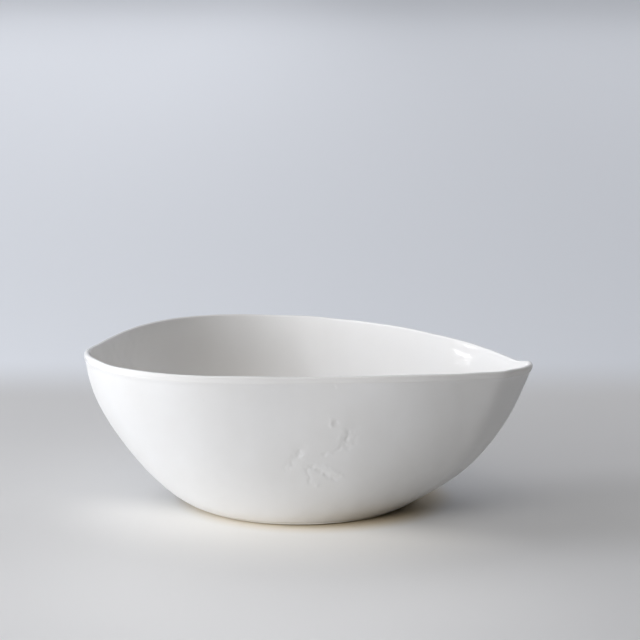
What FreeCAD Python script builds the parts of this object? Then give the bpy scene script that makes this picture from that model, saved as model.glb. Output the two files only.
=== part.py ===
import FreeCAD, Part
import math
import os
from FreeCAD import Vector

# Porcelain serving bowl, drop-shaped in plan, with a pinched pour tip toward +X.
# Frame: +Z up, origin at the centre of the bounding box's bottom face, table at z = 0.
# Three pieces: the fired body, the gloss liner glaze (inside, over the lip and a 4 mm band
# outside) and the satin outer glaze that meets it edge to edge.

doc = FreeCAD.newDocument("serving_bowl")
sheet = doc.addObject("Spreadsheet::Sheet", "dims")

# ---------------------------------------------------------------- driving dimensions (mm, deg)
DIMS = [
    ("crest_height", 100.65),           # mean height of the lip's crest above the table
    ("centre_shift_x", -19.07),       # moves the plan centroid so that the box is centred
    ("centre_shift_y", -0.17),
    ("foot_radius", 72.7),            # where the wall's line reaches the table
    ("foot_centre_x", 6.9),          # foot centre from the plan centroid
    ("foot_centre_y", -0.1),
    ("foot_edge_round", 1.6),         # rounding of the foot's outer edge, measured inward
    ("lip_half", 1.35),               # half thickness of the body at the lip
    ("wall_upper", 2.9),
    ("wall_middle", 3.4),
    ("wall_lower", 4.6),
    ("floor_thickness", 5.0),
    ("floor_disc_radius", 12.0),      # small flat at the middle of the floor
    ("recess_radius", 62.0),          # shallow recess under the foot
    ("recess_depth", 1.2),
    ("glaze_outer", 0.18),
    ("glaze_liner", 0.28),
    ("glaze_bead", 0.5),              # thickest part of the liner's edge
    ("liner_drop", 4.0),              # how far the liner comes down outside, from the crest
    ("bare_foot", 2.2),               # height of the bare clay above the table
]
# crest line in plan: angle about the plan centroid and reach from it
RIM_ANGLE = [-171.0, -162.0, -154.0, -146.0, -138.0, -129.0, -120.0, -110.0, -100.0, -90.0, -80.0, -70.0,
    -60.0, -50.0, -41.0, -32.0, -24.0, -17.0, -11.5, -7.6, -4.6, -2.2, 0.0, 2.2, 4.6, 7.6, 11.5,
    17.0, 24.0, 32.0, 41.0, 50.0, 60.0, 70.0, 80.0, 90.0, 100.0, 110.0, 120.0, 129.0, 138.0, 146.0,
    154.0, 162.0, 171.0, 180.0]
RIM_REACH = [126.04, 128.24, 132.47, 132.82, 130.63, 128.58, 125.71, 120.29, 114.03, 107.98, 103.24, 100.73,
    101.01, 104.33, 110.01, 118.30, 127.92, 138.12, 147.52, 155.02, 158.20, 161.25, 163.20, 163.36,
    160.10, 153.39, 145.93, 137.48, 127.95, 118.74, 110.52, 104.62, 100.94, 100.46, 103.06, 108.03,
    114.31, 120.63, 125.81, 128.90, 130.42, 130.55, 129.72, 128.23, 126.38, 125.35]
# how far the crest is lifted or let down at each of those angles
CREST_LIFT = [0, 0, 0, 0, 0, 0, 0, 0, 0, 0, 0, 0, 0, 0, 0, 0,
    0, 0, 0, -0.24, 0.06, 0.03, 0.44, 0.7, 1.13, -0.59, -1, -1, -0.65, -0.35, -0.25, -0.2,
    -0.1, 0, 0, 0, 0, 0, 0, 0, 0, 0, 0, 0, 0, 0]
# slow wave of the crest's height: cosine and sine parts of orders 2, 3 and 4
WAVE = [-0.124, -0.16, -0.513, 0.277, -0.111, -0.557]
# wall profile: share of the way from the foot to the lip at each height share,
# on the wide side and on the tip side
PROFILE_AT = [0.04, 0.12, 0.26, 0.45, 0.68, 0.86]
PROFILE_WIDE = [0.118, 0.281, 0.482, 0.688, 0.883, 0.97]
PROFILE_TIP = [0.076, 0.23, 0.451, 0.662, 0.838, 0.934]

for k in range(len(RIM_REACH)):
    DIMS.append(("rim_angle_%02d" % k, RIM_ANGLE[k]))
    DIMS.append(("rim_reach_%02d" % k, RIM_REACH[k]))
    DIMS.append(("crest_lift_%02d" % k, CREST_LIFT[k]))
for k in range(6):
    DIMS.append(("crest_wave_%d" % k, WAVE[k]))
for k in range(6):
    DIMS.append(("profile_at_%d" % k, PROFILE_AT[k]))
    DIMS.append(("profile_wide_%d" % k, PROFILE_WIDE[k]))
    DIMS.append(("profile_tip_%d" % k, PROFILE_TIP[k]))
for n, (alias, value) in enumerate(DIMS, start=1):
    sheet.set("A%d" % n, alias)
    sheet.set("B%d" % n, "%g" % value)
    sheet.setAlias("B%d" % n, alias)
doc.recompute()


def dim(alias):
    return float(getattr(sheet, alias))


N = len(RIM_REACH)
SHIFT = (dim("centre_shift_x"), dim("centre_shift_y"))
FOOT = (dim("foot_centre_x") + SHIFT[0], dim("foot_centre_y") + SHIFT[1])
LIP = dim("lip_half")


# ---------------------------------------------------------------- small numeric helpers
def smooth(xs, ys, x):
    """natural cubic spline through (xs, ys)"""
    n = len(xs)
    gap = [xs[i + 1] - xs[i] for i in range(n - 1)]
    a, b, c, d = [0.0] * n, [1.0] * n, [0.0] * n, [0.0] * n
    for i in range(1, n - 1):
        a[i], b[i], c[i] = gap[i - 1], 2 * (gap[i - 1] + gap[i]), gap[i]
        d[i] = 6 * ((ys[i + 1] - ys[i]) / gap[i] - (ys[i] - ys[i - 1]) / gap[i - 1])
    for i in range(1, n):
        f = a[i] / b[i - 1]
        b[i] -= f * c[i - 1]
        d[i] -= f * d[i - 1]
    bend = [0.0] * n
    for i in range(n - 2, 0, -1):
        bend[i] = (d[i] - c[i] * bend[i + 1]) / b[i]
    i = 0
    while i < n - 2 and x > xs[i + 1]:
        i += 1
    u, v, w = gap[i], xs[i + 1] - x, x - xs[i]
    return ((bend[i] * v ** 3 + bend[i + 1] * w ** 3) / (6 * u)
            + (ys[i] / u - bend[i] * u / 6) * v + (ys[i + 1] / u - bend[i + 1] * u / 6) * w)


def closed_poles(points):
    """poles of the closed uniform cubic B-spline that passes through the points"""
    n = len(points)
    diag = [4.0] * n
    # cyclic tridiagonal system (1, 4, 1) solved by the Sherman-Morrison split
    gamma = -4.0
    diag[0] -= gamma
    diag[-1] -= 1.0 / gamma

    def solve(rhs):
        c = [0.0] * n
        x = [0.0] * n
        bet = diag[0]
        x[0] = rhs[0] / bet
        for i in range(1, n):
            c[i] = 1.0 / bet
            bet = diag[i] - c[i]
            x[i] = (rhs[i] - x[i - 1]) / bet
        for i in range(n - 2, -1, -1):
            x[i] -= c[i + 1] * x[i + 1]
        return x
    corner = [0.0] * n
    corner[0] = gamma
    corner[-1] = 1.0
    z = solve(corner)
    out = []
    for axis in range(3):
        rhs = [6.0 * p[axis] for p in points]
        x = solve(rhs)
        f = (x[0] + x[-1] / gamma) / (1.0 + z[0] + z[-1] / gamma)
        out.append([x[i] - f * z[i] for i in range(n)])
    return [Vector(out[0][i], out[1][i], out[2][i]) for i in range(n)]


def skin(rows, heights):
    """surface through rows of points: closed along each row, open from row to row;
    point i of a row lies at u = i, row j lies at v = heights[j]"""
    ring = [closed_poles(row) for row in rows]
    columns = []
    for i in range(N):
        curve = Part.BSplineCurve()
        curve.interpolate(Points=[ring[j][i] for j in range(len(rows))], Parameters=heights)
        columns.append(curve)
    # the pole of station i acts on knots i-2 .. i+2, so the list is turned by one
    order = [(i - 1) % N for i in range(N)]
    poles = [columns[i].getPoles() for i in order]
    surface = Part.BSplineSurface()
    surface.buildFromPolesMultsKnots(
        poles, [1] * (N + 1), columns[0].getMultiplicities(),
        [float(k) for k in range(N + 1)], columns[0].getKnots(), True, False, 3, 3)
    return surface


# ---------------------------------------------------------------- the lines that shape the bowl
def crest():
    pts = []
    wave = [dim("crest_wave_%d" % k) for k in range(6)]
    for k in range(N):
        a = math.radians(dim("rim_angle_%02d" % k))
        reach = dim("rim_reach_%02d" % k)
        z = dim("crest_height") + dim("crest_lift_%02d" % k)
        for o in range(3):
            z += wave[2 * o] * math.cos((o + 2) * a) + wave[2 * o + 1] * math.sin((o + 2) * a)
        pts.append(Vector(reach * math.cos(a) + SHIFT[0], reach * math.sin(a) + SHIFT[1], z))
    return pts


CREST = crest()
ANGLE = [math.radians(dim("rim_angle_%02d" % k)) for k in range(N)]
PLAN = closed_poles(CREST)
OUTWARD = []
for k in range(N):
    t = PLAN[(k + 1) % N] - PLAN[(k - 1) % N]      # tangent of the uniform cubic at its knot
    t = Vector(t.x, t.y, 0).normalize()
    OUTWARD.append(Vector(t.y, -t.x, 0))

AT = [0.0] + [dim("profile_at_%d" % k) for k in range(6)] + [1.0]
WIDE = [0.0] + [dim("profile_wide_%d" % k) for k in range(6)] + [1.0]
TIP = [0.0] + [dim("profile_tip_%d" % k) for k in range(6)] + [1.0]


def wall_point(k, t):
    """outside of the body at station k, at height share t from the table to the lip's side"""
    w = (1 + math.cos(ANGLE[k])) / 2
    g = (1 - w) * smooth(AT, WIDE, t) + w * smooth(AT, TIP, t)
    rim = CREST[k] + OUTWARD[k] * LIP
    foot = Vector(FOOT[0] + dim("foot_radius") * math.cos(ANGLE[k]),
                  FOOT[1] + dim("foot_radius") * math.sin(ANGLE[k]), 0)
    return Vector(foot.x * (1 - g) + rim.x * g, foot.y * (1 - g) + rim.y * g,
                  (CREST[k].z - LIP) * t)


def foot_point(k, inset, z):
    r = dim("foot_radius") - inset
    return Vector(FOOT[0] + r * math.cos(ANGLE[k]), FOOT[1] + r * math.sin(ANGLE[k]), z)


def lip_point(k, deg):
    a = math.radians(deg)
    return (CREST[k] + OUTWARD[k] * (LIP * math.cos(a))
            + Vector(0, 0, LIP * (math.sin(a) - 1)))


side = dim("crest_height") - LIP
LINE = (dim("crest_height") - dim("liner_drop")) / side
BARE = dim("bare_foot") / side
WALL = [0.0165, BARE, 0.035, 0.06, 0.095, 0.14, 0.2, 0.27, 0.35, 0.44, 0.53, 0.62, 0.71, 0.79,
        0.86, 0.92, LINE]

# a first outside skin, only to take normals from
wall_rows = [[wall_point(k, t) for k in range(N)] for t in WALL + [1.0]]
wall_v = WALL + [1.0]
guide = skin(wall_rows, wall_v)


def thickness(t):
    return smooth([0.0, 0.2, 0.55, 1.0],
                 [dim("wall_lower"), dim("wall_lower") * 0.5 + dim("wall_middle") * 0.5,
                  dim("wall_middle"), dim("wall_upper")], t)


def side_of(surface, u, v):
    """outward unit normal of a skin"""
    n = surface.normal(u, v)
    p = surface.value(u, v)
    if n.x * (p.x - FOOT[0]) + n.y * (p.y - FOOT[1]) < 0:
        n = n * -1
    return n


def inner_point(k, t):
    return guide.value(k, t) - side_of(guide, k, t) * thickness(t)


INNER = [0.955, 0.9, 0.84, 0.76, 0.67, 0.57, 0.47, 0.37, 0.28, 0.2, 0.135]
floor = dim("floor_thickness")
disc = dim("floor_disc_radius")
rows = []
rows.append([foot_point(k, dim("foot_edge_round"), 0.0) for k in range(N)])
rows.append([foot_point(k, dim("foot_edge_round") * 0.25, 0.22) for k in range(N)])
rows.append([foot_point(k, -dim("foot_edge_round") * 0.6, 0.75) for k in range(N)])
for t in WALL:
    rows.append([wall_point(k, t) for k in range(N)])
for deg in (0, 30, 60, 90, 120, 150, 180):
    rows.append([lip_point(k, deg) for k in range(N)])
for t in INNER:
    rows.append([inner_point(k, t) for k in range(N)])
last = rows[-1]
FLOOR_ROWS = [(0.86, 0.36), (0.7, 0.08), (0.5, 0.0), (0.33, 0.0)]
base = dim("foot_radius")
for share, lift in FLOOR_ROWS:
    ring = []
    for k in range(N):
        out = Vector(last[k].x - FOOT[0], last[k].y - FOOT[1], 0)
        reach = out.Length * (1 - (1 - share) * 1.0)
        blend = share ** 0.5
        direction = (out.normalize() * blend
                     + Vector(math.cos(ANGLE[k]), math.sin(ANGLE[k]), 0) * (1 - blend)).normalize()
        circle = base * share
        reach = reach * blend + circle * (1 - blend)
        ring.append(Vector(FOOT[0] + direction.x * reach, FOOT[1] + direction.y * reach,
                           floor + (last[k].z - floor) * lift))
    rows.append(ring)
rows.append([Vector(FOOT[0] + disc * math.cos(a), FOOT[1] + disc * math.sin(a), floor)
             for a in ANGLE])

# v of each row: mean distance from the row before
V = [0.0]
for j in range(1, len(rows)):
    V.append(V[-1] + sum((rows[j][k] - rows[j - 1][k]).Length for k in range(N)) / N)
body_skin = skin(rows, V)
j_bare = 3 + WALL.index(BARE)
j_line = 3 + WALL.index(LINE)
j_side = 3 + len(WALL)
V_BARE, V_LINE, V_SIDE, V_END = V[j_bare], V[j_line], V[j_side], V[-1]


def strip(surface, v1, v2):
    return surface.toShape(0.0, float(N), v1, v2)


def ring_edge(surface, v):
    return surface.vIso(v).toShape()


def close(faces):
    """sew faces into one solid"""
    shell = Part.makeShell(faces)
    shell.sewShape()
    if shell.ShapeType == "Compound":
        shell = shell.Shells[0]
    solid = Part.makeSolid(shell)
    if solid.Volume < 0:
        solid.reverse()
    return solid


def flat(edge):
    return Part.Face(Part.Wire([edge]))


# ---------------------------------------------------------------- the body
form = doc.addObject("Part::Feature", "body_form")
form.Label = "body_form"
form.Shape = close([strip(body_skin, V[0], V_END),
                    flat(ring_edge(body_skin, V[0])), flat(ring_edge(body_skin, V_END))])
form.Placement = FreeCAD.Placement()

recess = doc.addObject("Part::Cone", "foot_recess")
recess.Label = "foot_recess"
recess.setExpression("Radius1", "dims.recess_radius + 0.8 * (dims.recess_depth + 1)")
recess.setExpression("Radius2", "dims.recess_radius")
recess.setExpression("Height", "dims.recess_depth + 1")
recess.setExpression(".Placement.Base.x", "dims.foot_centre_x + dims.centre_shift_x")
recess.setExpression(".Placement.Base.y", "dims.foot_centre_y + dims.centre_shift_y")
recess.setExpression(".Placement.Base.z", "-1")

body = doc.addObject("Part::Cut", "porcelain_body")
body.Label = "porcelain_body"
body.Base = form
body.Tool = recess


# ---------------------------------------------------------------- glaze layers
def outward(surface, u, v):
    """unit normal that points away from the clay"""
    return surface.normal(u, v) * SIGN


mid = V[j_bare + 4]
away = body_skin.value(0.0, mid) - Vector(FOOT[0], FOOT[1], 0)
SIGN = 1.0 if body_skin.normal(0.0, mid).dot(away) > 0 else -1.0


def coat(vs, thick):
    """skin parallel to the body skin at rows vs, thick[j] away from it"""
    out = []
    for j, v in enumerate(vs):
        out.append([body_skin.value(float(k), v) + outward(body_skin, float(k), v) * thick[j]
                    for k in range(N)])
    return out


def between(v_low, v_high, shares):
    return [v_low + (v_high - v_low) * s for s in shares]


# outer glaze: from the bare foot to the liner's edge, square ends
g = dim("glaze_outer")
vs = [V[j] for j in range(j_bare, j_line + 1)]
coat_rows = coat(vs, [g] * len(vs))
outer_skin = skin(coat_rows, vs)
outer_glaze = doc.addObject("Part::Feature", "outer_glaze")
outer_glaze.Label = "outer_glaze"
outer_glaze.Shape = close([
    strip(body_skin, V_BARE, V_LINE), strip(outer_skin, V_BARE, V_LINE),
    Part.makeRuledSurface(ring_edge(body_skin, V_BARE), ring_edge(outer_skin, V_BARE)),
    Part.makeRuledSurface(ring_edge(body_skin, V_LINE), ring_edge(outer_skin, V_LINE))])
outer_glaze.Placement = FreeCAD.Placement()

# liner glaze: floor, inside wall, over the lip, and the band outside with its raised edge
g = dim("glaze_liner")
bead = dim("glaze_bead")
vs = [V_LINE] + between(V_LINE, V_SIDE, [0.12, 0.26, 0.45, 0.7, 1.0])
thick = [bead * 0.72, bead * 0.96, bead, bead * 0.8, g * 1.05, g]
vs += [V[j] for j in range(j_side + 1, len(rows))]
thick += [g] * (len(rows) - j_side - 1)
coat_rows = coat(vs, thick)
coat_rows[-1] = [Vector(p.x, p.y, floor + g) for p in rows[-1]]
liner_skin = skin(coat_rows, vs)
liner_glaze = doc.addObject("Part::Feature", "liner_glaze")
liner_glaze.Label = "liner_glaze"
liner_glaze.Shape = close([
    strip(body_skin, V_LINE, V_END), strip(liner_skin, V_LINE, V_END),
    flat(ring_edge(body_skin, V_END)), flat(ring_edge(liner_skin, V_END)),
    Part.makeRuledSurface(ring_edge(body_skin, V_LINE), ring_edge(liner_skin, V_LINE))])
liner_glaze.Placement = FreeCAD.Placement()

doc.recompute()

# ---------------------------------------------------------------- checks, then the files
pieces = [body, liner_glaze, outer_glaze]
for obj in doc.Objects:
    if "Invalid" in obj.State or "Error" in obj.State:
        raise RuntimeError("%s did not recompute: %s" % (obj.Name, obj.State))
for piece in pieces:
    shape = piece.Shape
    if shape.isNull() or not shape.isValid():
        raise RuntimeError("%s has a bad shape" % piece.Label)
    if len(shape.Solids) != 1:
        raise RuntimeError("%s is %d solids" % (piece.Label, len(shape.Solids)))
    bb = shape.optimalBoundingBox(False)
    print("%-16s volume %.0f mm3  x %.2f..%.2f  y %.2f..%.2f  z %.2f..%.2f" % (
        piece.Label, shape.Volume, bb.XMin, bb.XMax, bb.YMin, bb.YMax, bb.ZMin, bb.ZMax))

os.makedirs("parts", exist_ok=True)
for piece in pieces:
    piece.Shape.exportStep("parts/%s.step" % piece.Label)
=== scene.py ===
import math

import bpy
import numpy as np
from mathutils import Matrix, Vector


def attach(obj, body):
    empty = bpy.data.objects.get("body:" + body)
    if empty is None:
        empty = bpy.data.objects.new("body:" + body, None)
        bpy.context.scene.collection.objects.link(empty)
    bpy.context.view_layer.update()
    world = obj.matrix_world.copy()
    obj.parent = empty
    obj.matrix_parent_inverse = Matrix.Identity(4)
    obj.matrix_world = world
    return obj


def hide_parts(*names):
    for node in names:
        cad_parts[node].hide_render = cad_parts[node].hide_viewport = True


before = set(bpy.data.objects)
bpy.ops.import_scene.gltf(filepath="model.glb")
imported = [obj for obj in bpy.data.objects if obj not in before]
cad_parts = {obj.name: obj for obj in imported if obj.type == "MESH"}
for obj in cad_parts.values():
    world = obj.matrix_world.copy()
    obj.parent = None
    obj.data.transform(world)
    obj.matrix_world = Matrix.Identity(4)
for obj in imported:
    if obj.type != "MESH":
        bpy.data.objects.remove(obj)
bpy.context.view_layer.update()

# =====================================================================================
# Shape of the bowl, in millimetres, from the same lines as the CAD part.
# =====================================================================================
RIM_ANGLE = np.radians([-171, -162, -154, -146, -138, -129, -120, -110, -100, -90, -80, -70, -60, -50, -41,
    -32, -24, -17, -11.5, -7.6, -4.6, -2.2, 0, 2.2, 4.6, 7.6, 11.5, 17, 24, 32,
    41, 50, 60, 70, 80, 90, 100, 110, 120, 129, 138, 146, 154, 162, 171,
    180])
RIM_REACH = np.array([126.04, 128.24, 132.47, 132.82, 130.63, 128.58, 125.71, 120.29, 114.03, 107.98, 103.24, 100.73,
    101.01, 104.33, 110.01, 118.30, 127.92, 138.12, 147.52, 155.02, 158.20, 161.25, 163.20, 163.36,
    160.10, 153.39, 145.93, 137.48, 127.95, 118.74, 110.52, 104.62, 100.94, 100.46, 103.06, 108.03,
    114.31, 120.63, 125.81, 128.90, 130.42, 130.55, 129.72, 128.23, 126.38, 125.35])
LIFT = np.array([0, 0, 0, 0, 0, 0, 0, 0, 0, 0, 0, 0, 0, 0, 0, 0,
    0, 0, 0, -0.24, 0.06, 0.03, 0.44, 0.7, 1.13, -0.59, -1, -1, -0.65, -0.35, -0.25, -0.2,
    -0.1, 0, 0, 0, 0, 0, 0, 0, 0, 0, 0, 0, 0, 0])
WAVE = [-0.124, -0.16, -0.513, 0.277, -0.111, -0.557]
AT = [0.0, 0.04, 0.12, 0.26, 0.45, 0.68, 0.86, 1.0]
WIDE = [0.0] + [0.118, 0.281, 0.482, 0.688, 0.883, 0.97] + [1.0]
TIP = [0.0] + [0.076, 0.23, 0.451, 0.662, 0.838, 0.934] + [1.0]
CREST_H, LIP = 100.65, 1.35
SHIFT = np.array([-19.07, -0.17])
FOOT = np.array([6.9, -0.1]) + SHIFT
FOOT_R, FOOT_ROUND = 72.7, 1.6
FLOOR, DISC = 5.0, 12.0
DROP, BARE_H = 4.0, 2.2
N = len(RIM_REACH)


def natural(xs, ys):
    """second derivatives of the natural cubic spline through ys (axis 0) at xs"""
    xs = np.asarray(xs, float)
    ys = np.asarray(ys, float)
    n = len(xs)
    h = np.diff(xs)
    m = np.zeros((n, n))
    m[0, 0] = m[-1, -1] = 1.0
    rhs = np.zeros_like(ys)
    for i in range(1, n - 1):
        m[i, i - 1], m[i, i], m[i, i + 1] = h[i - 1], 2 * (h[i - 1] + h[i]), h[i]
        rhs[i] = 6 * ((ys[i + 1] - ys[i]) / h[i] - (ys[i] - ys[i - 1]) / h[i - 1])
    return np.linalg.solve(m, rhs.reshape(n, -1)).reshape(ys.shape)


def spline(xs, ys, x, m=None, slope=False):
    xs = np.asarray(xs, float)
    ys = np.asarray(ys, float)
    x = np.atleast_1d(np.asarray(x, float))
    if m is None:
        m = natural(xs, ys)
    i = np.clip(np.searchsorted(xs, x, side="right") - 1, 0, len(xs) - 2)
    h = (xs[i + 1] - xs[i])
    shape = (len(x),) + (1,) * (ys.ndim - 1)
    v, w, h = (xs[i + 1] - x).reshape(shape), (x - xs[i]).reshape(shape), h.reshape(shape)
    if slope:
        return (-m[i] * v ** 2 / (2 * h) + m[i + 1] * w ** 2 / (2 * h)
                + (ys[i + 1] - ys[i]) / h - h / 6 * (m[i + 1] - m[i]))
    return (m[i] * v ** 3 / (6 * h) + m[i + 1] * w ** 3 / (6 * h)
            + (ys[i] / h - m[i] * h / 6) * v + (ys[i + 1] / h - m[i + 1] * h / 6) * w)


def ring_poles(rows):
    """poles of closed uniform cubic splines through axis 1 of rows"""
    n = rows.shape[1]
    c = np.zeros((n, n))
    for i in range(n):
        c[i, i] = 4 / 6
        c[i, (i + 1) % n] += 1 / 6
        c[i, (i - 1) % n] += 1 / 6
    inv = np.linalg.inv(c)
    return np.einsum("ij,rjk->rik", inv, rows)


def ring_eval(poles, u, slope=False):
    n = poles.shape[1]
    i = np.floor(u).astype(int)
    f = (u - i)[None, :, None]
    p = [poles[:, (i + k) % n] for k in (-1, 0, 1, 2)]
    if slope:
        b = [-(1 - f) ** 2 / 2, (3 * f ** 2 - 4 * f) / 2, (-3 * f ** 2 + 2 * f + 1) / 2, f ** 2 / 2]
    else:
        b = [(1 - f) ** 3 / 6, (3 * f ** 3 - 6 * f ** 2 + 4) / 6,
             (-3 * f ** 3 + 3 * f ** 2 + 3 * f + 1) / 6, f ** 3 / 6]
    return sum(bb * pp for bb, pp in zip(b, p))


angles = RIM_ANGLE
crest_z = CREST_H + LIFT
for o in range(3):
    crest_z = crest_z + WAVE[2 * o] * np.cos((o + 2) * angles) + WAVE[2 * o + 1] * np.sin((o + 2) * angles)
CREST = np.c_[RIM_REACH * np.cos(angles) + SHIFT[0], RIM_REACH * np.sin(angles) + SHIFT[1], crest_z]
plan = ring_poles(CREST[None])[0]
tan = np.roll(plan, -1, 0) - np.roll(plan, 1, 0)
tan[:, 2] = 0
tan /= np.linalg.norm(tan, axis=1)[:, None]
OUTWARD = np.c_[tan[:, 1], -tan[:, 0], np.zeros(N)]
weight = (1 + np.cos(angles)) / 2


def wall_row(t):
    g = (1 - weight) * spline(AT, WIDE, [t])[0] + weight * spline(AT, TIP, [t])[0]
    rim = CREST + OUTWARD * LIP
    foot = np.c_[FOOT[0] + FOOT_R * np.cos(angles), FOOT[1] + FOOT_R * np.sin(angles), np.zeros(N)]
    out = foot * (1 - g)[:, None] + rim * g[:, None]
    out[:, 2] = (CREST[:, 2] - LIP) * t
    return out


def foot_row(inset, z):
    r = FOOT_R - inset
    return np.c_[FOOT[0] + r * np.cos(angles), FOOT[1] + r * np.sin(angles), np.full(N, z)]


def lip_row(deg):
    a = math.radians(deg)
    return CREST + OUTWARD * (LIP * math.cos(a)) + np.array([0, 0, LIP * (math.sin(a) - 1)])


side = CREST_H - LIP
T_LINE, T_BARE = (CREST_H - DROP) / side, BARE_H / side
WALL = [0.0165, T_BARE, 0.035, 0.06, 0.095, 0.14, 0.2, 0.27, 0.35, 0.44, 0.53, 0.62, 0.71, 0.79,
        0.86, 0.92, T_LINE]
guide_rows = np.array([wall_row(t) for t in WALL + [1.0]])
guide_poles = ring_poles(guide_rows)
stations = np.arange(N).astype(float)
g_val, g_du = ring_eval(guide_poles, stations), ring_eval(guide_poles, stations, True)
guide_v = WALL + [1.0]


def inner_row(t):
    p = spline(guide_v, g_val, [t])[0]
    du = spline(guide_v, g_du, [t])[0]
    dv = spline(guide_v, g_val, [t], slope=True)[0]
    n = np.cross(du, dv)
    n /= np.linalg.norm(n, axis=1)[:, None]
    n *= np.sign(n[:, 0] * (p[:, 0] - FOOT[0]) + n[:, 1] * (p[:, 1] - FOOT[1]))[:, None]
    thick = spline([0.0, 0.2, 0.55, 1.0], [4.6, 4.0, 3.4, 2.9], [t])[0]
    return p - n * thick


INNER = [0.955, 0.9, 0.84, 0.76, 0.67, 0.57, 0.47, 0.37, 0.28, 0.2, 0.135]
rows = [foot_row(FOOT_ROUND, 0.0), foot_row(FOOT_ROUND * 0.25, 0.22), foot_row(-FOOT_ROUND * 0.6, 0.75)]
rows += [wall_row(t) for t in WALL]
rows += [lip_row(d) for d in (0, 30, 60, 90, 120, 150, 180)]
rows += [inner_row(t) for t in INNER]
last = rows[-1]
for share, lift in [(0.86, 0.36), (0.7, 0.08), (0.5, 0.0), (0.33, 0.0)]:
    out = np.c_[last[:, 0] - FOOT[0], last[:, 1] - FOOT[1], np.zeros(N)]
    length = np.linalg.norm(out, axis=1)
    reach = length * share
    b = share ** 0.5
    direction = out / length[:, None] * b + np.c_[np.cos(angles), np.sin(angles), np.zeros(N)] * (1 - b)
    direction /= np.linalg.norm(direction, axis=1)[:, None]
    reach = reach * b + FOOT_R * share * (1 - b)
    rows.append(np.c_[FOOT[0] + direction[:, 0] * reach, FOOT[1] + direction[:, 1] * reach,
                      FLOOR + (last[:, 2] - FLOOR) * lift])
rows.append(np.c_[FOOT[0] + DISC * np.cos(angles), FOOT[1] + DISC * np.sin(angles), np.full(N, FLOOR)])
rows = np.array(rows)
V = np.r_[0, np.cumsum(np.linalg.norm(np.diff(rows, axis=0), axis=2).mean(1))]
J_BARE, J_LINE, J_SIDE = 3 + WALL.index(T_BARE), 3 + WALL.index(T_LINE), 3 + len(WALL)
V_BARE, V_LINE, V_SIDE, V_END = V[J_BARE], V[J_LINE], V[J_SIDE], V[-1]
V_IN = V[J_SIDE + 6]            # inner side of the lip

# ------------------------------------------------------------------ fine grid, columns
# columns are closer together where the clay is creased and round the pour tip
poles0 = ring_poles(rows[J_SIDE:J_SIDE + 1])
dense_u = np.linspace(0, N, 46 * 40, endpoint=False)
edge = ring_eval(poles0, dense_u)[0]
step = np.linalg.norm(np.roll(edge, -1, 0) - edge, axis=1)
arc_angle = np.arctan2(edge[:, 1] - FOOT[1], edge[:, 0] - FOOT[0])
FINE_AT, FINE_W = math.radians(-64), math.radians(20)
gap = np.full(len(dense_u), 1.5)
d_ang = np.abs((arc_angle - FINE_AT + math.pi) % (2 * math.pi) - math.pi)
gap = np.where(d_ang < FINE_W, 0.75, gap)
gap = np.where(np.abs(arc_angle) < math.radians(9), 0.9, gap)
gap = np.convolve(np.r_[gap[-40:], gap, gap[:40]], np.ones(61) / 61, "same")[40:-40]
count = np.r_[0, np.cumsum(step / gap)]
NU = int(round(count[-1]))
U = np.interp(np.arange(NU) * count[-1] / NU, count, np.r_[dense_u, N])

base_poles = ring_poles(rows)
cols = ring_eval(base_poles, U)                # (rows, NU, 3)
cols_m = natural(V, cols)


def at_v(v):
    """points of the clay's skin at heights v (list) for every column"""
    return spline(V, cols, v, cols_m)


def spaced(a, b, d):
    n = max(2, int(math.ceil((b - a) / d)))
    return list(np.linspace(a, b, n + 1)[:-1])


k = 1.0
v_foot = spaced(0.0, V_BARE, 0.5)
v_wall = spaced(V_BARE, V_BARE + 1.2, 0.3) + spaced(V_BARE + 1.2, V_LINE - 1.4, 0.6 * k) + spaced(V_LINE - 1.4, V_LINE, 0.28)
v_band = [V_LINE + (V_SIDE - V_LINE) * s for s in (0, 0.04, 0.08, 0.13, 0.18, 0.24, 0.31, 0.39, 0.48, 0.58, 0.7, 0.85)]
v_lip = list(np.linspace(V_SIDE, V_IN, 17)[:-1])
v_in = spaced(V_IN, V_IN + 4, 0.8) + spaced(V_IN + 4, V_END, 1.5 * k) + [V_END]
VF = np.array(v_foot + v_wall + v_band + v_lip + v_in)
A_BARE, A_LINE = len(v_foot), len(v_foot) + len(v_wall)
G = at_v(VF)                                   # (nv, NU, 3)

# ------------------------------------------------------------------ what the hand left
rng = np.random.RandomState(7)


def waves(p, lengths, amp, seed):
    """smooth irregularity: sum of plane waves through space, so it has no seam"""
    r = np.random.RandomState(seed)
    out = np.zeros(p.shape[:-1])
    for length in lengths:
        for _ in range(5):
            d = r.normal(size=3)
            d /= np.linalg.norm(d)
            d *= 2 * math.pi / (length * r.uniform(0.8, 1.25))
            out += np.sin(p @ d + r.uniform(0, 2 * math.pi)) * math.sqrt(length / lengths[0])
    return amp * out / (math.sqrt(2.5 * len(lengths)))


def normals(g):
    du = np.roll(g, -1, 1) - np.roll(g, 1, 1)
    dv = np.gradient(g, axis=0)
    n = np.cross(du, dv)
    n /= np.maximum(np.linalg.norm(n, axis=2), 1e-12)[..., None]
    mid = A_BARE + 6
    away = g[mid] - np.array([FOOT[0], FOOT[1], g[mid, 0, 2]])
    if np.mean((n[mid] * away).sum(1)) < 0:
        n = -n
    return n


NRM = normals(G)


def share(lo, hi, x):
    s = np.clip((x - lo) / (hi - lo), 0, 1)
    return s * s * (3 - 2 * s)


# the wall's slow unevenness fades out at the foot so that it still stands flat
keep = share(V[0] + 3.0, V[0] + 16.0, VF)[:, None] * (1 - share(V_END - 30, V_END - 6, VF))[:, None]
relief = waves(G, [85.0, 52.0], 0.16, 11) + waves(G, [24.0, 15.0], 0.035, 12)
relief = relief * keep


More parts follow.
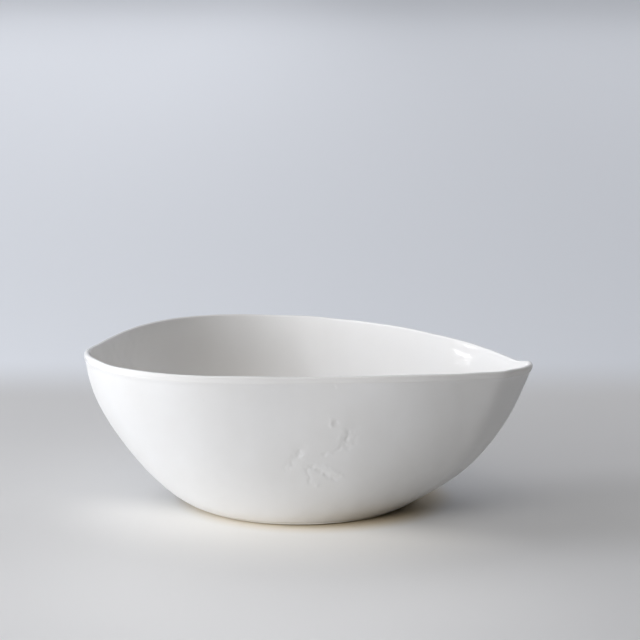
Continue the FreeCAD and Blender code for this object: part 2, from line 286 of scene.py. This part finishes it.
def stroke(p, pts, width, depth, soft=0.0):
    """a crease (depth < 0) or ridge along a line of points on the wall, seen square to the wall"""
    pts = np.array(pts, float)
    best = np.full(p.shape[:-1], 1e9)
    where = np.zeros(p.shape[:-1])
    total = 0.0
    seg = np.linalg.norm(np.diff(pts, axis=0), axis=1)
    for a, b, s in zip(pts[:-1], pts[1:], seg):
        ab = b - a
        f = np.clip(((p - a) @ ab) / (ab @ ab), 0, 1)
        d = np.linalg.norm(p - (a + f[..., None] * ab), axis=-1)
        hit = d < best
        best = np.where(hit, d, best)
        where = np.where(hit, total + f * s, where)
        total += s
    w = where / max(total, 1e-9)
    ends = np.minimum(1, np.minimum(w, 1 - w) * 5 + 0.15)
    return depth * ends * np.exp(-(best / width) ** 2)


MARKS = [
    ([[27.9, -81.0, 44.3], [32.6, -77.6, 40.7], [37.2, -74.0, 37.0], [43.7, -68.5, 32.1]], 1.6, -0.287),
    ([[36.2, -76.7, 43.8], [41.4, -72.5, 39.5], [47.9, -66.7, 34.0]], 1.6, 0.138),
    ([[26.8, -81.2, 43.1], [27.4, -79.2, 37.6], [28.5, -76.0, 29.6]], 1.6, -0.207),
    ([[26.7, -84.1, 54.2], [22.8, -84.8, 49.8], [18.5, -85.3, 44.3], [14.3, -85.4, 38.2]], 2.4, -0.23),
    ([[52.7, -74.7, 70.2], [52.6, -73.7, 65.3], [51.2, -73.2, 60.4], [47.9, -73.8, 55.5], [44.5, -74.8, 52.4], [38.6, -77.3, 50.5], [33.4, -79.8, 49.9]], 1.6, -0.196),
    ([[55.5, -73.0, 69.6], [55.2, -71.8, 63.5], [53.2, -71.3, 57.3], [49.5, -72.2, 53.0]], 3.6, -0.184),
    ([[49.7, -75.9, 68.4], [48.7, -75.1, 62.8], [45.9, -75.6, 58.5]], 1.7, 0.103),
    ([[26.8, -82.8, 49.2]], 2.2, 0.184),
    ([[31.5, -74.3, 29.0]], 2, 0.207),
    ([[45.9, -78.4, 71.4]], 1.5, -0.414),
    ([[43.8, -80.2, 75.7], [43.1, -79.8, 71.4], [44.0, -78.6, 67.7]], 1.1, 0.161),
    ([[106.4, -46.5, 95.6]], 0.8, -0.299),
    ([[46.6, -81.6, 94.8]], 0.9, -0.299),
    ([[47.5, -81.4, 96.6], [48.2, -80.7, 93.6]], 0.6, 0.138),
    ([[20.3, -94.0, 98.3]], 0.8, -0.253),
    ([[24.7, -84.4, 51.7]], 1.8, -0.172),
]
outside = (VF < V_LINE)
outer_block = G[outside]
marks = np.zeros(outer_block.shape[:-1])
for pts, width, depth in MARKS:
    pts = np.array(pts, float)
    if len(pts) == 1:
        marks += depth * np.exp(-(np.linalg.norm(outer_block - pts[0], axis=-1) / width) ** 2)
    else:
        marks += stroke(outer_block, pts, width, depth)
relief[outside] += marks * (1 + 0.35 * waves(outer_block, [5.0, 3.0], 1.0, 41))
for centre, reach, deep in (((-6.0, -88.0, 66.0), (6.0, 9.0), -0.22), ((3.0, -82.0, 52.0), (9.0, 6.0), 0.16),
                            ((24.0, -80.0, 44.0), (8.0, 8.0), 0.14), ((10.0, -93.0, 74.0), (10.0, 9.0), -0.12)):
    off = outer_block - np.array(centre)
    relief[outside] += deep * np.exp(-(off[..., 0] / reach[0]) ** 2 - (off[..., 2] / reach[1]) ** 2) \
        * (off[..., 1] < 40)
inside = VF > V_IN
inner_block = G[inside]
for centre, reach, deep, seed in (((-141.0, 6.0, 88.0), 26.0, 0.20, 51), ((-31.0, 106.0, 82.0), 20.0, 0.09, 52),
                                  ((80.0, 60.0, 88.0), 14.0, 0.03, 53)):
    near = np.exp(-(np.linalg.norm(inner_block - np.array(centre), axis=-1) / reach) ** 2)
    relief[inside] += deep * near * waves(inner_block, [13.0, 8.0], 1.0, seed)

clay = G + NRM * relief[..., None]

# ------------------------------------------------------------------ mesh helpers


def build(name, verts, faces, smooth_angle=None):
    me = bpy.data.meshes.new(name)
    verts = np.asarray(verts, float) / 1000.0
    me.vertices.add(len(verts))
    me.vertices.foreach_set("co", verts.astype(np.float32).ravel())
    loops = np.concatenate([np.asarray(f, np.int32) for f in faces])
    starts = np.r_[0, np.cumsum([len(f) for f in faces])[:-1]].astype(np.int32)
    me.loops.add(len(loops))
    me.loops.foreach_set("vertex_index", loops)
    me.polygons.add(len(faces))
    me.polygons.foreach_set("loop_start", starts)
    me.update(calc_edges=True)
    me.validate()
    me.polygons.foreach_set("use_smooth", np.ones(len(me.polygons), bool))
    o = bpy.data.objects.new(name, me)
    bpy.context.scene.collection.objects.link(o)
    return o


class Rings:
    """closed rings of NU points joined into one skin, with a centre point where a ring set ends"""

    def __init__(self):
        self.v, self.f, self.n = [], [], 0

    def ring(self, pts):
        self.v.append(np.asarray(pts))
        s = self.n
        self.n += len(pts)
        return s

    def join(self, a, b):
        i = np.arange(NU)
        j = (i + 1) % NU
        self.f.extend(np.c_[a + i, a + j, b + j, b + i].tolist())

    def cap(self, a, centre, flip=False):
        c = self.n
        self.v.append(np.asarray(centre)[None])
        self.n += 1
        for i in range(NU):
            j = (i + 1) % NU
            self.f.append([a + i, a + j, c])

    def skin(self, rings):
        ids = [self.ring(r) for r in rings]
        for a, b in zip(ids[:-1], ids[1:]):
            self.join(a, b)
        return ids

    def make(self, name):
        o = build(name, np.concatenate(self.v), self.f)
        import bmesh
        bm = bmesh.new()
        bm.from_mesh(o.data)
        bmesh.ops.recalc_face_normals(bm, faces=bm.faces)
        bm.to_mesh(o.data)
        bm.free()
        o.data.polygons.foreach_set("use_smooth", np.ones(len(o.data.polygons), bool))
        return o


ang_col = np.arctan2(clay[0, :, 1] - FOOT[1], clay[0, :, 0] - FOOT[0])


def disc_rings(last_ring, z_mid, shares, lift=0.0):
    c = np.array([FOOT[0], FOOT[1], z_mid])
    out = []
    for s in shares:
        r = c + (last_ring - c) * s
        r[:, 2] = z_mid + (last_ring[:, 2] - z_mid) * s ** 2
        out.append(r)
    return out, c


# ------------------------------------------------------------------ the fired body
R = Rings()
foot0 = clay[0]
under = []
radius0 = np.linalg.norm(foot0[:, :2] - FOOT, axis=1)
unit = (foot0[:, :2] - FOOT) / radius0[:, None]
for r, z in [(61.4, 1.2), (62.0, 1.13), (62.35, 0.95), (62.6, 0.5), (62.8, 0.18), (63.2, 0.04),
             (64.0, 0.0), (66.5, 0.0), (69.0, 0.0)]:
    pts = np.c_[FOOT[0] + unit[:, 0] * r, FOOT[1] + unit[:, 1] * r, np.full(NU, z)]
    under.append(pts)
inner_under = []
for s in (0.1, 0.25, 0.45, 0.65, 0.85, 0.95):
    pts = np.c_[FOOT[0] + unit[:, 0] * 61.4 * s, FOOT[1] + unit[:, 1] * 61.4 * s, np.full(NU, 1.2)]
    pts[:, 2] += 0.06 * np.cos(s * 9.0) * (1 - s)
    inner_under.append(pts)
top_rings, top_c = disc_rings(clay[-1], FLOOR, (0.8, 0.6, 0.4, 0.2, 0.08))
ids = R.skin(inner_under + under + list(clay) + top_rings)
R.cap(ids[0], [FOOT[0], FOOT[1], 1.26])
R.cap(ids[-1], top_c)
body = R.make("porcelain_body_fired")

# ------------------------------------------------------------------ the satin glaze outside
g_out = 0.18
idx = range(A_BARE, A_LINE + 1)
v_o = VF[A_BARE:A_LINE + 1]
creep = 0.35 * waves(clay[A_BARE], [38.0, 17.0, 8.0], 1.0, 21)      # uneven lower edge, mm
thick = np.full((len(v_o), NU), g_out)
roll = np.exp(-((v_o - (V_BARE + 0.75)) / 0.5) ** 2)                 # slight bead at the lower edge
thick += roll[:, None] * 0.06 * (1 + 0.5 * np.tanh(creep))[None]
thick[0] = 0.05
thick[1] = np.maximum(thick[1] * 0.75, 0.1)
thick += (0.19 * np.exp(-((v_o[-1] - v_o) / 1.6) ** 2))[:, None]
thick += 0.02 * waves(clay[A_BARE:A_LINE + 1], [12.0, 7.0], 1.0, 22) * share(0, 4, v_o - V_BARE)[:, None]
skin_o = clay[A_BARE:A_LINE + 1] + NRM[A_BARE:A_LINE + 1] * thick[..., None]
R = Rings()
a = R.skin(list(clay[A_BARE:A_LINE + 1]))
b = R.skin(list(skin_o))
R.join(a[0], b[0])
R.join(a[-1], b[-1])
outer = R.make("outer_glaze_satin")

# ------------------------------------------------------------------ the gloss liner
g_in = 0.28
v_l = VF[A_LINE:]
s = (v_l - V_LINE) / (V_SIDE - V_LINE)
profile = np.interp(s, [0, 0.04, 0.08, 0.13, 0.18, 0.24, 0.31, 0.39, 0.48, 0.58, 0.7, 1.0],
                    [0.37, 0.40, 0.425, 0.43, 0.41, 0.37, 0.33, 0.30, 0.29, 0.285, 0.28, g_in])
bead_var = 1 + 0.22 * waves(clay[A_LINE], [45.0, 19.0, 9.0], 1.0, 31)
thick = np.tile(profile[:, None], (1, NU))
extra = np.clip(profile - g_in, 0, None)[:, None]
thick = np.minimum(g_in, profile)[:, None] + extra * np.clip(bead_var, 0.45, 1.6)[None]
thick += 0.02 * waves(clay[A_LINE:], [30.0, 14.0], 1.0, 32) * share(0.6, 1.5, s)[:, None]
skin_l = clay[A_LINE:] + NRM[A_LINE:] * thick[..., None]
R = Rings()
low, low_c = disc_rings(clay[-1], FLOOR, (0.8, 0.6, 0.4, 0.2, 0.08))
high, high_c = disc_rings(skin_l[-1], FLOOR + g_in, (0.8, 0.6, 0.4, 0.2, 0.08))
a = R.skin(list(clay[A_LINE:]) + low)
b = R.skin(list(skin_l) + high)
R.join(a[0], b[0])
R.cap(a[-1], low_c)
R.cap(b[-1], high_c)
liner = R.make("liner_glaze_gloss")

# =====================================================================================
# Materials
# =====================================================================================


def material(name):
    m = bpy.data.materials.new(name)
    m.use_nodes = True
    nt = m.node_tree
    p = nt.nodes["Principled BSDF"]
    return m, nt, p


def noise(nt, scale, detail=3.0, rough=0.55, coord=None):
    n = nt.nodes.new("ShaderNodeTexNoise")
    n.inputs["Scale"].default_value = scale
    n.inputs["Detail"].default_value = detail
    n.inputs["Roughness"].default_value = rough
    nt.links.new(coord, n.inputs["Vector"])
    return n


def ramp(nt, src, stops):
    r = nt.nodes.new("ShaderNodeValToRGB")
    r.color_ramp.elements[0].position = stops[0][0]
    r.color_ramp.elements[0].color = stops[0][1]
    r.color_ramp.elements[1].position = stops[-1][0]
    r.color_ramp.elements[1].color = stops[-1][1]
    for pos, col in stops[1:-1]:
        e = r.color_ramp.elements.new(pos)
        e.color = col
    nt.links.new(src, r.inputs["Fac"])
    return r


def remap(nt, src, lo, hi, a=0.0, b=1.0):
    r = nt.nodes.new("ShaderNodeMapRange")
    r.inputs["From Min"].default_value = a
    r.inputs["From Max"].default_value = b
    r.inputs["To Min"].default_value = lo
    r.inputs["To Max"].default_value = hi
    nt.links.new(src, r.inputs["Value"])
    return r


def bump(nt, src, strength, distance, normal=None):
    b = nt.nodes.new("ShaderNodeBump")
    b.inputs["Strength"].default_value = strength
    b.inputs["Distance"].default_value = distance
    nt.links.new(src, b.inputs["Height"])
    if normal is not None:
        nt.links.new(normal, b.inputs["Normal"])
    return b


def g(r, gg, b):
    return (r, gg, b, 1.0)


# satin outside
m_out, nt, p = material("satin_glaze")
co = nt.nodes.new("ShaderNodeTexCoord").outputs["Object"]
slow = noise(nt, 22.0, 3.0, 0.5, co)
fine = noise(nt, 900.0, 3.0, 0.6, co)
col = ramp(nt, slow.outputs["Fac"], [(0.30, g(0.856, 0.850, 0.838)), (0.5, g(0.872, 0.868, 0.860)),
                                     (0.72, g(0.886, 0.885, 0.881))])
speck = nt.nodes.new("ShaderNodeTexVoronoi")
speck.inputs["Scale"].default_value = 95.0
nt.links.new(co, speck.inputs["Vector"])
dots = ramp(nt, speck.outputs["Distance"], [(0.0, g(0.80, 0.79, 0.76)), (0.035, g(0.97, 0.965, 0.955)),
                                            (0.07, g(1, 1, 1))])
mix = nt.nodes.new("ShaderNodeMix")
mix.data_type = "RGBA"
mix.blend_type = "MULTIPLY"
mix.inputs["Factor"].default_value = 0.35
nt.links.new(col.outputs["Color"], mix.inputs[6])
nt.links.new(dots.outputs["Color"], mix.inputs[7])
nt.links.new(mix.outputs[2], p.inputs["Base Color"])
rg = remap(nt, slow.outputs["Fac"], 0.40, 0.50, 0.3, 0.7)
nt.links.new(rg.outputs["Result"], p.inputs["Roughness"])
p.inputs["IOR"].default_value = 1.5
b1 = bump(nt, fine.outputs["Fac"], 0.10, 0.0002)
mid = noise(nt, 160.0, 2.0, 0.5, co)
b2 = bump(nt, mid.outputs["Fac"], 0.10, 0.0006, b1.outputs["Normal"])
nt.links.new(b2.outputs["Normal"], p.inputs["Normal"])

# gloss inside and over the lip
m_in, nt, p = material("gloss_glaze")
co = nt.nodes.new("ShaderNodeTexCoord").outputs["Object"]
slow = noise(nt, 18.0, 3.0, 0.5, co)
peel = noise(nt, 240.0, 2.0, 0.5, co)
col = ramp(nt, slow.outputs["Fac"], [(0.30, g(0.895, 0.885, 0.865)), (0.5, g(0.905, 0.897, 0.880)),
                                     (0.72, g(0.915, 0.909, 0.896))])
nt.links.new(col.outputs["Color"], p.inputs["Base Color"])
rg = remap(nt, slow.outputs["Fac"], 0.13, 0.20, 0.3, 0.7)
nt.links.new(rg.outputs["Result"], p.inputs["Roughness"])
p.inputs["IOR"].default_value = 1.52
b1 = bump(nt, peel.outputs["Fac"], 0.06, 0.0005)
nt.links.new(b1.outputs["Normal"], p.inputs["Normal"])

# bare clay at the foot
m_clay, nt, p = material("bare_porcelain")
co = nt.nodes.new("ShaderNodeTexCoord").outputs["Object"]
grain = noise(nt, 1400.0, 4.0, 0.65, co)
patch = noise(nt, 40.0, 3.0, 0.5, co)
col = ramp(nt, patch.outputs["Fac"], [(0.3, g(0.74, 0.715, 0.66)), (0.55, g(0.80, 0.785, 0.745)),
                                      (0.75, g(0.83, 0.815, 0.78))])
nt.links.new(col.outputs["Color"], p.inputs["Base Color"])
rg = remap(nt, grain.outputs["Fac"], 0.68, 0.85, 0.3, 0.7)
nt.links.new(rg.outputs["Result"], p.inputs["Roughness"])
b1 = bump(nt, grain.outputs["Fac"], 0.35, 0.0002)
nt.links.new(b1.outputs["Normal"], p.inputs["Normal"])

for o, m, node, slot in ((body, m_clay, "porcelain_body", "bare_porcelain"),
                         (liner, m_in, "liner_glaze", "gloss_liner_glaze"),
                         (outer, m_out, "outer_glaze", "satin_outer_glaze")):
    o.data.materials.append(m)
    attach(o, "root")
    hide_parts(node)

# =====================================================================================
# Floor, light and camera
# =====================================================================================
YAW = math.radians(22.8930)          # the camera's azimuth round the bowl


def place(x, y, z):
    """camera frame (x to the right, y away, from the bowl's middle) to the row frame, metres"""
    c, s_ = math.cos(YAW), math.sin(YAW)
    return Vector((x * c - y * s_, x * s_ + y * c, z))


me = bpy.data.meshes.new("floor")
S = 14.0
n = 24
grid = np.linspace(-S, S, n + 1)
vv = [(x, y, 0.0) for y in grid for x in grid]
ff = [(j * (n + 1) + i, j * (n + 1) + i + 1, (j + 1) * (n + 1) + i + 1, (j + 1) * (n + 1) + i)
      for j in range(n) for i in range(n)]
me.from_pydata(vv, [], ff)
floor = bpy.data.objects.new("floor", me)
bpy.context.scene.collection.objects.link(floor)
m_floor, nt, p = material("pale_floor")
co = nt.nodes.new("ShaderNodeTexCoord").outputs["Object"]
cloud = noise(nt, 2.2, 3.0, 0.5, co)
col = ramp(nt, cloud.outputs["Fac"], [(0.3, g(*(0.62, 0.617, 0.608))), (0.7, g(*(0.65, 0.647, 0.638)))])
sep = nt.nodes.new("ShaderNodeVectorMath")
sep.operation = "DOT_PRODUCT"
sep.inputs[1].default_value = (-math.sin(YAW), math.cos(YAW), 0.0)
nt.links.new(co, sep.inputs[0])
far = remap(nt, sep.outputs["Value"], 0.0, 1.0, 0.30, 0.48)
far.interpolation_type = "SMOOTHSTEP"
mix = nt.nodes.new("ShaderNodeMix")
mix.data_type = "RGBA"
mix.inputs[7].default_value = g(*(0.84, 0.87, 0.91))
# painted light falloff: the far floor is painted lighter on the left and darker on the right, as the light comes from
# the left
aside = nt.nodes.new("ShaderNodeVectorMath")
aside.operation = "DOT_PRODUCT"
aside.inputs[1].default_value = (math.cos(YAW), math.sin(YAW), 0.0)
nt.links.new(co, aside.inputs[0])
off_side = remap(nt, aside.outputs["Value"], 0.0, 1.0, -0.5, 0.5)
off_side.interpolation_type = "SMOOTHSTEP"
painted_side_falloff = nt.nodes.new("ShaderNodeMix")
painted_side_falloff.data_type = "RGBA"
painted_side_falloff.inputs[6].default_value = g(*[c * 1.06 for c in (0.84, 0.87, 0.91)])
painted_side_falloff.inputs[7].default_value = g(*[c * 0.86 for c in (0.84, 0.87, 0.91)])
nt.links.new(off_side.outputs["Result"], painted_side_falloff.inputs["Factor"])
nt.links.new(painted_side_falloff.outputs[2], mix.inputs[7])
nt.links.new(far.outputs["Result"], mix.inputs["Factor"])
nt.links.new(col.outputs["Color"], mix.inputs[6])
# painted contact shadow: a ring round the foot, set off towards the shaded side, where the floor is painted darker and
# warmer
ring = nt.nodes.new("ShaderNodeVectorMath")
ring.operation = "DISTANCE"
ring.inputs[1].default_value = Vector((FOOT[0] / 1000, FOOT[1] / 1000, 0.0)) + place(0.010, -0.001, 0.0)
nt.links.new(co, ring.inputs[0])
near = remap(nt, ring.outputs["Value"], 1.0, 0.0, 0.072, 0.096)
near.interpolation_type = "SMOOTHSTEP"
# painted pool of light: the floor in front of the bowl is painted paler, standing in for light falling there
light_pool_distance = nt.nodes.new("ShaderNodeVectorMath")
light_pool_distance.operation = "DISTANCE"
light_pool_distance.inputs[1].default_value = place(-0.03, -0.21, 0.0)
nt.links.new(co, light_pool_distance.inputs[0])
front = remap(nt, light_pool_distance.outputs["Value"], 1.0, 0.0, 0.06, 0.24)
front.interpolation_type = "SMOOTHSTEP"
painted_light_pool = nt.nodes.new("ShaderNodeMix")
painted_light_pool.data_type = "RGBA"
painted_light_pool.inputs[7].default_value = g(0.80, 0.795, 0.78)
nt.links.new(front.outputs["Result"], painted_light_pool.inputs["Factor"])
nt.links.new(mix.outputs[2], painted_light_pool.inputs[6])
# colour of the painted contact shadow and warm bounce round the foot
painted_contact_shadow = nt.nodes.new("ShaderNodeMix")
painted_contact_shadow.data_type = "RGBA"
painted_contact_shadow.inputs[7].default_value = g(*(0.60, 0.51, 0.37))
nt.links.new(near.outputs["Result"], painted_contact_shadow.inputs["Factor"])
# painted shadow: the floor to the right of the bowl is painted darker, standing in for the bowl's long cast shadow
away = nt.nodes.new("ShaderNodeVectorMath")
away.operation = "DISTANCE"
away.inputs[1].default_value = place(0.22, -0.035, 0.0)
nt.links.new(co, away.inputs[0])
painted_shadow_mask = remap(nt, away.outputs["Value"], 1.0, 0.0, 0.03, 0.14)
painted_shadow_mask.interpolation_type = "SMOOTHSTEP"
dim = nt.nodes.new("ShaderNodeMix")
dim.data_type = "RGBA"
dim.inputs[7].default_value = g(0.50, 0.495, 0.48)
nt.links.new(painted_shadow_mask.outputs["Result"], dim.inputs["Factor"])
nt.links.new(painted_light_pool.outputs[2], dim.inputs[6])
nt.links.new(dim.outputs[2], painted_contact_shadow.inputs[6])
nt.links.new(painted_contact_shadow.outputs[2], p.inputs["Base Color"])
# painted glow: the floor emits light close to the foot, on the lit side, standing in for light that the pale floor
# scatters back
foot_near = remap(nt, ring.outputs["Value"], 0.0, 1.0, 0.070, 0.084)
foot_far = remap(nt, ring.outputs["Value"], 0.22, 0.0, 0.075, 0.19)
lit = nt.nodes.new("ShaderNodeVectorMath")
lit.operation = "DOT_PRODUCT"
lit.inputs[1].default_value = place(-0.35, -0.94, 0.0)
nt.links.new(co, lit.inputs[0])
lit_side = remap(nt, lit.outputs["Value"], 0.0, 1.0, 0.030, 0.085)
for node in (foot_near, foot_far, lit_side):
    node.interpolation_type = "SMOOTHSTEP"
glow = foot_far.outputs["Result"]
for node in (foot_near, lit_side):
    times = nt.nodes.new("ShaderNodeMath")
    times.operation = "MULTIPLY"
    nt.links.new(glow, times.inputs[0])
    nt.links.new(node.outputs["Result"], times.inputs[1])
    glow = times.outputs[0]
nt.links.new(glow, p.inputs["Emission Strength"])
p.inputs["Emission Color"].default_value = g(1.0, 0.97, 0.91)
p.inputs["Roughness"].default_value = 0.6
floor.data.materials.append(m_floor)

world = bpy.data.worlds.new("soft_room") if bpy.context.scene.world is None else bpy.context.scene.world
bpy.context.scene.world = world
world.use_nodes = True
wt = world.node_tree
bg = wt.nodes["Background"]
way = wt.nodes.new("ShaderNodeTexCoord").outputs["Generated"]
back = wt.nodes.new("ShaderNodeVectorMath")
back.operation = "DOT_PRODUCT"
back.inputs[1].default_value = (-math.sin(YAW), math.cos(YAW), 0.0)
wt.links.new(way, back.inputs[0])
fade = remap(wt, back.outputs["Value"], 0.0, 0.5, -0.1, 0.55)
fade.interpolation_type = "SMOOTHSTEP"
wt.links.new(fade.outputs["Result"], bg.inputs["Strength"])
bg.inputs["Color"].default_value = (0.87, 0.91, 1.0, 1.0)


def sun(name, x, y, z, strength, angle, color):
    l = bpy.data.lights.new(name, "SUN")
    l.energy = strength
    l.angle = math.radians(angle)
    l.color = color
    o = bpy.data.objects.new(name, l)
    bpy.context.scene.collection.objects.link(o)
    o.location = place(x, y, z)
    o.rotation_euler = (-place(x, y, z)).to_track_quat("-Z", "Y").to_euler()
    return o


def area(name, x, y, z, power, w, h, color, target=(0, 0, 0.06), gloss=True):
    l = bpy.data.lights.new(name, "AREA")
    l.shape = "RECTANGLE"
    l.size, l.size_y = w, h
    l.energy = power
    l.color = color
    o = bpy.data.objects.new(name, l)
    bpy.context.scene.collection.objects.link(o)
    o.location = place(x, y, z)
    o.rotation_euler = (place(*target) - place(x, y, z)).to_track_quat("-Z", "Y").to_euler()
    o.visible_camera = False
    o.visible_glossy = gloss
    return o


area("window_near", -0.95, -0.55, 0.42, 3.35, 0.8, 0.7, (0.93, 0.955, 1.0), gloss=False)
area("window_front", -1.06, -0.76, 0.36, 5.4, 0.6, 0.6, (0.94, 0.96, 1.0), gloss=False)
area("window_low", -1.15, -0.95, 0.13, 1.8, 0.9, 0.24, (0.99, 0.99, 1.0), gloss=False)
sun("sky_behind", -0.75, 0.6, 0.9, 0.86, 60.0, (0.92, 0.94, 1.0))
sun("skylight", -0.36, -0.60, 1.0, 0.46, 44.0, (1.0, 0.97, 0.95))
sun("room", 0.22, -0.55, 1.15, 0.25, 46.0, (1.0, 0.93, 0.84))
sun("side", -1.0, -0.12, 0.40, 0.28, 26.0, (0.92, 0.95, 1.0))
area("wash", -1.4, 5.0, 2.6, 64.0, 8.0, 7.0, (0.97, 0.965, 1.0), target=(-1.4, 5.0, 0.0), gloss=False)
area("glint", -1.41, 0.42, 0.175, 0.55, 0.08, 0.07, (1.0, 1.0, 1.0))

cam_data = bpy.data.cameras.new("camera")
cam_data.lens = 121.154
cam_data.sensor_width = 36.0
cam_data.sensor_fit = "HORIZONTAL"
cam_data.clip_start, cam_data.clip_end = 0.05, 60.0
cam_data.dof.use_dof = False
cam = bpy.data.objects.new("camera", cam_data)
bpy.context.scene.collection.objects.link(cam)
cam.location = (0.54196, -1.27798, 0.36798)
cam.rotation_euler = Vector((-0.38295, 0.90686, -0.17597)).to_track_quat("-Z", "Y").to_euler()
bpy.context.scene.camera = cam

vs = bpy.context.scene.view_settings
vs.view_transform = "Standard"
vs.look = "None"
vs.exposure = 0.0
vs.gamma = 1.0
